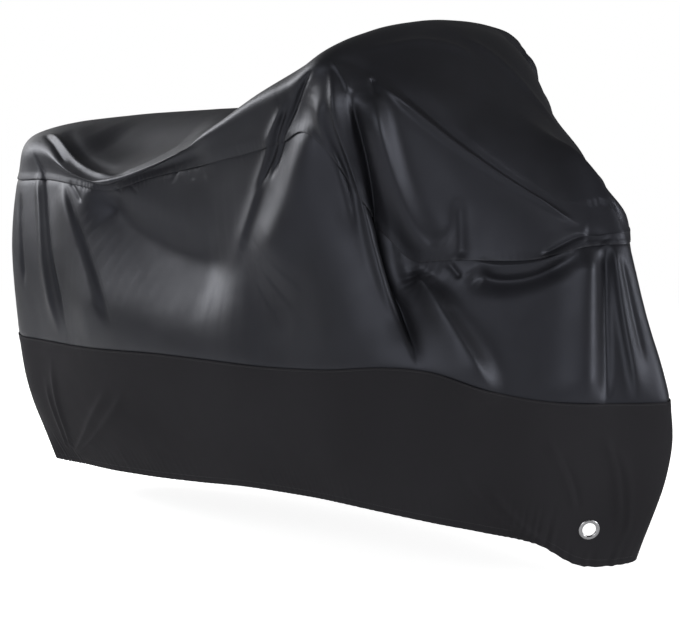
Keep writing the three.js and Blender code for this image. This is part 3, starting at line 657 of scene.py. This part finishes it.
# %% [markdown]
# ## Eyelets
# A plated brass grommet comes in two parts that are pressed together through the cloth: a barrel with a wide
# rim, and a washer behind. Turned metal is a profile carried round an axis, so a short outline gives rounded
# rims that catch the light, which a bevelled cylinder would only approximate.

# %% Eyelets
BORE, BARREL, FLANGE = 17.0, 18.6, 26.0       # radii of the hole, the barrel's outside and the rim
ROUND = 96


def arc(centre, radius, start, end, steps):
    """Points (radius out, height) on a circular arc, angles in degrees."""
    a = np.radians(np.linspace(start, end, steps))
    return np.stack([centre[0] + radius[0] * np.cos(a), centre[1] + radius[1] * np.sin(a)], axis=1)


def grommet_outline():
    """The closed section of the pressed grommet: a domed front rim rolled into the bore, the barrel, and a
    flatter rim behind the cloth."""
    half = (FLANGE - BORE) / 2
    front = arc((BORE + half, 0.35), (half, 2.3), 0, 180, 17)
    back = arc((BORE + half, -2.35), (half, 1.3), 180, 360, 13)
    groove = [[FLANGE - 0.4, -2.2], [BARREL, -2.2], [BARREL, 0.2], [FLANGE - 0.4, 0.2]]
    return np.concatenate([front, back, groove])


def grommet(name, side):
    """The outline turned round the eyelet's own axis."""
    outline = grommet_outline()
    centre, facing = eyelet_seat(side)
    level = unit(np.cross([0, 0, 1], facing))
    up = np.cross(facing, level)
    angle = np.linspace(0, 2 * np.pi, ROUND, endpoint=False)[:, None, None]
    radius, height = outline[None, :, :1], outline[None, :, 1:]
    points = centre + radius * (np.cos(angle) * level + np.sin(angle) * up) + height * facing
    lines, rows = points.shape[:2]
    at = np.arange(lines * rows).reshape(lines, rows)
    along, round_it = np.roll(at, -1, axis=1), np.roll(at, -1, axis=0)
    faces = np.stack([at, round_it, np.roll(along, -1, axis=0), along], axis=-1).reshape(-1, 4)
    return to_mesh(name, points.reshape(-1, 3), faces)


grommets = {word: grommet("grommet_" + word, side) for word, (side, _) in SIDES.items()}
print("grommets:", [surface_of(piece)[1] for piece in grommets.values()], "triangles")

# %% [markdown]
# ## Cloth finishes
# The upper is polyester with a silky coating: nearly black, a little blue, with broad soft highlights. The
# skirt is the same weight of cloth without the gloss. Both have a plain weave of about 0.4 mm and faint
# crumpling from being packed in a bag. The weave runs on the cloth's own lengths, and the crumpling on object
# coordinates so that it does not stop at a seam.

# %% Cloth finishes
WEAVE_PITCH, WEAVE_DEPTH = 0.0004, 0.00008    # metres from thread to thread, and how far a thread stands up
DRIFT_SCALE, WEAR_SCALE, CRUMPLE_SCALE = 3.5, 14, 38        # noise: features to a metre


def finish_nodes(name):
    """A new material, its node tree and its Principled shader."""
    material = bpy.data.materials.new(name)
    material.use_nodes = True
    tree = material.node_tree
    return material, tree, tree.nodes["Principled BSDF"]


def add_node(tree, kind, **sockets):
    """A node with some of its input sockets set."""
    node = tree.nodes.new(kind)
    for socket, value in sockets.items():
        node.inputs[socket.replace("_", " ")].default_value = value
    return node


def noise_between(tree, coords, scale, low, high, detail=4.0):
    """Object-space noise spread between two numbers."""
    noise = add_node(tree, "ShaderNodeTexNoise", Scale=scale, Detail=detail)
    tree.links.new(coords, noise.inputs["Vector"])
    spread_out = add_node(tree, "ShaderNodeMapRange", From_Min=0.3, From_Max=0.7, To_Min=low, To_Max=high)
    tree.links.new(noise.outputs["Fac"], spread_out.inputs["Value"])
    return spread_out.outputs["Result"]


def noise_shade(tree, coords, scale, dark, light):
    """A colour that drifts between two shades with object-space noise."""
    blend = tree.nodes.new("ShaderNodeMix")
    blend.data_type = "RGBA"
    blend.inputs["A"].default_value = (*dark, 1)
    blend.inputs["B"].default_value = (*light, 1)
    tree.links.new(noise_between(tree, coords, scale, 0, 1), blend.inputs["Factor"])
    return blend.outputs["Result"]


def weave_height(tree, uv):
    """Plain weave: bands one way plus bands the other, each a sine of the cloth's length over the pitch."""
    total = None
    for direction in ("X", "Y"):
        bands = tree.nodes.new("ShaderNodeTexWave")
        bands.bands_direction = direction
        bands.inputs["Scale"].default_value = 0.05 / WEAVE_PITCH * 2 * math.pi
        tree.links.new(uv, bands.inputs["Vector"])
        if total is None:
            total = bands.outputs["Fac"]
        else:
            add = tree.nodes.new("ShaderNodeMath")
            tree.links.new(total, add.inputs[0])
            tree.links.new(bands.outputs["Fac"], add.inputs[1])
            total = add.outputs["Value"]
    return total


def cloth_finish(name, dark, light, rough, specular, weave, crumple):
    """Coated woven cloth: colour and roughness drift with noise, and two bumps give crumpling and weave."""
    material, tree, shader = finish_nodes(name)
    spots = tree.nodes.new("ShaderNodeTexCoord")
    uv = tree.nodes.new("ShaderNodeUVMap")
    uv.uv_map = "cloth"
    on_object = spots.outputs["Object"]
    tree.links.new(noise_shade(tree, on_object, DRIFT_SCALE, dark, light), shader.inputs["Base Color"])
    tree.links.new(noise_between(tree, on_object, WEAR_SCALE, *rough), shader.inputs["Roughness"])
    shader.inputs["Specular IOR Level"].default_value = specular
    shader.inputs["Specular Tint"].default_value = (0.80, 0.84, 1.0, 1)
    wrinkles = add_node(tree, "ShaderNodeBump", Strength=1.0, Distance=crumple)
    tree.links.new(noise_between(tree, on_object, CRUMPLE_SCALE, 0, 1, 3.0), wrinkles.inputs["Height"])
    threads = add_node(tree, "ShaderNodeBump", Strength=weave, Distance=WEAVE_DEPTH)
    tree.links.new(weave_height(tree, uv.outputs["UV"]), threads.inputs["Height"])
    tree.links.new(wrinkles.outputs["Normal"], threads.inputs["Normal"])
    tree.links.new(threads.outputs["Normal"], shader.inputs["Normal"])
    return material


glossy = cloth_finish("coated_cloth", dark=(0.0075, 0.0075, 0.0085), light=(0.0095, 0.0095, 0.012),
                      rough=(0.46, 0.52), specular=0.35, weave=0.2, crumple=0.0001)
matt = cloth_finish("matt_cloth", dark=(0.0160, 0.0155, 0.0170), light=(0.0190, 0.0185, 0.0205),
                    rough=(0.75, 0.87), specular=0.06, weave=0.4, crumple=0.00015)
print("cloth finishes:", glossy.name, matt.name)

# %% [markdown]
# ## Thread and metal
# Thread is matt and a shade lighter than the cloth. Nickel plate that has dulled outdoors is a mid grey
# metal, and its fine wear marks show as a change of roughness rather than of colour.

# %% Thread and metal
def thread_finish():
    """Matt spun thread with a slight change of shade along it."""
    material, tree, shader = finish_nodes("thread")
    spots = tree.nodes.new("ShaderNodeTexCoord")
    shade = noise_shade(tree, spots.outputs["Object"], 220, (0.012, 0.012, 0.014), (0.03, 0.03, 0.034))
    tree.links.new(shade, shader.inputs["Base Color"])
    shader.inputs["Roughness"].default_value = 0.75
    return material


def nickel_finish():
    """Darkened nickel plate, rougher in small patches where it has been handled."""
    material, tree, shader = finish_nodes("nickel_plate")
    spots = tree.nodes.new("ShaderNodeTexCoord")
    shader.inputs["Base Color"].default_value = (0.33, 0.33, 0.34, 1)
    shader.inputs["Metallic"].default_value = 1.0
    tree.links.new(noise_between(tree, spots.outputs["Object"], 160, 0.16, 0.34), shader.inputs["Roughness"])
    return material


thread, nickel = thread_finish(), nickel_finish()
print("finishes:", thread.name, nickel.name)

# %% [markdown]
# ## Sewing the pieces to the frame
# Each fine panel stands for its imported node, and the skirt for the eyelet's strip too, which is the same
# cloth.

# %% Pieces and sheets
def dress(piece, finish, slot, *nodes):
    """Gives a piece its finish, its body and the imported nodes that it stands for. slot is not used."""
    piece.data.materials.append(finish)
    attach(piece, "root")
    if nodes:
        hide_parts(*nodes)


dress(top_cloth, glossy, "glossy_cloth", "top_panel")
for word in SIDES:
    dress(side_cloth[word], glossy, "glossy_cloth", "side_panel_" + word)
    dress(skirt_cloth[word], matt, "matt_cloth", "skirt_" + word, "eyelet_strip_" + word)
    dress(grommets[word], nickel, "eyelet_metal", "eyelet_" + word)
    dress(top_stitches[word], thread, "glossy_cloth")
    dress(skirt_stitches[word], thread, "matt_cloth")

print("sheets declared:", 1 + 2 * len(SIDES))

# %% [markdown]
# ## Floor
# A studio floor is pale paper that runs up into the backdrop. A plane that glows for the camera and fades
# out with distance looks the same, with no edge behind the cover. It glows far less for every other ray, or
# the skirt would be lit from below.

# %% Floor
LAMP_TARGET = (-0.3, 0, -0.55)                # the middle of the cover, in metres
FLOOR_LIT, FLOOR_SEEN = 0.3, 0.84             # its glow for other rays and for the camera
FADE_START, FADE_END = 1.6, 4.5               # distances from the cover's middle, in metres


def wide_floor():
    """A big pale plane that fades to the backdrop with distance. Gives its height."""
    ground = -HANG_POINT[2] * MM
    mesh = bpy.data.meshes.new("floor")
    corners = [(-30, -30, ground), (30, -30, ground), (30, 30, ground), (-30, 30, ground)]
    mesh.from_pydata(corners, [], [(0, 1, 2, 3)])
    floor = bpy.data.objects.new("floor", mesh)
    bpy.context.scene.collection.objects.link(floor)
    material, tree, shader = finish_nodes("pale_floor")
    shader.inputs["Base Color"].default_value = (0.86, 0.86, 0.86, 1)
    shader.inputs["Roughness"].default_value = 0.9
    shader.inputs["Specular IOR Level"].default_value = 0.1
    shader.inputs["Emission Color"].default_value = (1, 1, 1, 1)
    rays = tree.nodes.new("ShaderNodeLightPath")
    glow = add_node(tree, "ShaderNodeMapRange", To_Min=FLOOR_LIT, To_Max=FLOOR_SEEN)
    tree.links.new(rays.outputs["Is Camera Ray"], glow.inputs["Value"])
    tree.links.new(glow.outputs["Result"], shader.inputs["Emission Strength"])
    spots = tree.nodes.new("ShaderNodeTexCoord")
    reach = tree.nodes.new("ShaderNodeVectorMath")
    reach.operation = "DISTANCE"
    reach.inputs[1].default_value = (*LAMP_TARGET[:2], ground)
    tree.links.new(spots.outputs["Object"], reach.inputs[0])
    fade = add_node(tree, "ShaderNodeMapRange", From_Min=FADE_START, From_Max=FADE_END, To_Min=1, To_Max=0)
    fade.interpolation_type = "SMOOTHSTEP"
    tree.links.new(reach.outputs["Value"], fade.inputs["Value"])
    tree.links.new(fade.outputs["Result"], shader.inputs["Alpha"])
    mesh.materials.append(material)
    return ground


print("floor at %.3f m" % wide_floor())

# %% [markdown]
# ## Lamps
# Black cloth shows only what it reflects. The key lamp stands high behind the tail, so its light grazes the
# flank and each fold gets a bright side and a dark one. A lamp ahead of the nose does the same for the near
# end, one beside the camera keeps the shadows open, and the rear rim and the sky are faint. The surrounding
# is white where the camera sees it and dim as a light, for black cloth under an even white sky turns grey.

# %% Lamps
def look_along(obj, direction):
    """Turns a camera or light so that its -Z looks along a direction, with its X level."""
    obj.rotation_mode = "QUATERNION"
    obj.rotation_quaternion = Vector(direction).to_track_quat("-Z", "Y")


def soft_light(name, azimuth, height, distance, size, watts):
    """A rectangular area light seen from the cover's middle at an azimuth (0 ahead of the nose, 90 to the
    left side) and a height above level, both in degrees, at a distance in metres. It faces the middle."""
    data = bpy.data.lights.new(name, "AREA")
    data.shape, data.size, data.size_y, data.energy = "RECTANGLE", size[0], size[1], watts
    light = bpy.data.objects.new(name, data)
    bpy.context.scene.collection.objects.link(light)
    turn, rise = math.radians(azimuth), math.radians(height)
    way = np.array([math.cos(rise) * math.cos(turn), math.cos(rise) * math.sin(turn), math.sin(rise)])
    light.location = way * distance + LAMP_TARGET
    look_along(light, -way)
    return light


def studio_world(seen, lit):
    """A plain white surrounding: its strength as the camera sees it, and as a light."""
    world = bpy.data.worlds.new("studio")
    world.use_nodes = True
    tree = world.node_tree
    rays = tree.nodes.new("ShaderNodeLightPath")
    strength = add_node(tree, "ShaderNodeMapRange", To_Min=lit, To_Max=seen)
    tree.links.new(rays.outputs["Is Camera Ray"], strength.inputs["Value"])
    tree.nodes["Background"].inputs["Color"].default_value = (1, 1, 1, 1)
    tree.links.new(strength.outputs["Result"], tree.nodes["Background"].inputs["Strength"])
    bpy.context.scene.world = world


soft_light("key", 192, 22, 6, (2.8, 2.8), 360)
soft_light("rear_rim", 160, 12, 6, (2.6, 2.6), 30)
soft_light("nose_rim", 14, 10, 6, (2.6, 2.6), 240)
soft_light("fill", 284, 14, 6, (3.0, 3.0), 170)
soft_light("sky", 0, 90, 5.5, (6, 6), 6)
studio_world(1.0, 0.12)
bpy.context.scene.view_settings.view_transform = "Standard"

# %% [markdown]
# ## Camera
# The camera stands six and a half metres off at eye height, ahead of the nose and to the right, and looks
# down a little. A wide lens close by would swell the near end, so a long one is used from further away.

# %% Camera
CAMERA_SPOT = (3.69979, -5.12364, 0.30047)
CAMERA_TURN, CAMERA_PITCH = 37.856, 9.4166    # degrees left of straight across, and below level
FOCAL_PIXELS, PICTURE_WIDTH, SENSOR_WIDTH = 2527.42, 680, 36


def studio_camera():
    """A camera whose lens is the focal length in pixels over the picture's width, times the sensor's."""
    turn, pitch = math.radians(CAMERA_TURN), math.radians(CAMERA_PITCH)
    data = bpy.data.cameras.new("camera")
    data.sensor_fit, data.sensor_width = "HORIZONTAL", SENSOR_WIDTH
    data.lens = SENSOR_WIDTH * FOCAL_PIXELS / PICTURE_WIDTH
    data.clip_end = 200
    camera = bpy.data.objects.new("camera", data)
    bpy.context.scene.collection.objects.link(camera)
    camera.location = CAMERA_SPOT
    level = math.cos(pitch)
    look_along(camera, (-math.sin(turn) * level, math.cos(turn) * level, -math.sin(pitch)))
    bpy.context.scene.camera = camera
    return camera


camera = studio_camera()
print("camera at", [round(v, 3) for v in camera.location])
